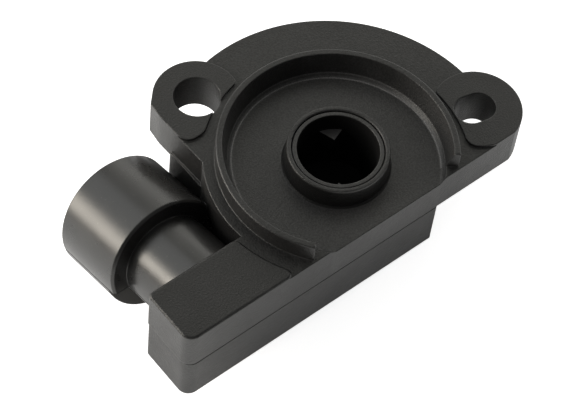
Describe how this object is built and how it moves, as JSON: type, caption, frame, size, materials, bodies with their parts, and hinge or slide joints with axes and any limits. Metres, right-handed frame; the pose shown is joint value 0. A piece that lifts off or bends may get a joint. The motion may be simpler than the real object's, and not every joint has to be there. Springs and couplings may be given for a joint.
{
  "type": "throttle position sensor",
  "caption": "Black plastic rotary sensor that bolts to a throttle body by two ears, with a sprung hub driven by the throttle shaft and a dipped round connector at its side.",
  "frame": {"origin": "on the rotor's axis, in the plane of the ear pads that meet the throttle body", "axes": "+Z out of the mounting face along the rotor's axis, +X along the straight front wall from the box toward the slotted ear, +Y toward the connector's mouth"},
  "size_m": [0.0552, 0.0329, 0.0204],
  "materials": {
    "housing_plastic": "satin black glass-filled moulding",
    "cover_plastic": "satin black moulding",
    "rotor_plastic": "smooth black moulding",
    "seal_rubber": "black elastomer",
    "spring_steel": "drawn spring wire",
    "wiper_metal": "phosphor bronze strip",
    "board_laminate": "brown laminate with dark tracks",
    "terminal_metal": "tin-plated blade"
  },
  "bodies": {
    "body": {"housing": "housing_plastic", "rear_cover": "cover_plastic", "element_board": "board_laminate", "return_spring": "spring_steel", "terminal_supply": "terminal_metal", "terminal_signal": "terminal_metal", "terminal_ground": "terminal_metal"},
    "rotor": {"rotor": "rotor_plastic", "rotor_seal": "seal_rubber", "wiper": "wiper_metal"}
  },
  "joints": [
    {"name": "rotor_turn", "type": "hinge", "parent": "body", "child": "rotor", "pos_m": [0, 0, 0], "axis": [0, 0, 1], "range_deg": [0, 96], "stiffness_Nm_per_rad": 0.004, "springref_deg": -57.3, "deforming": ["return_spring"]}
  ]
}
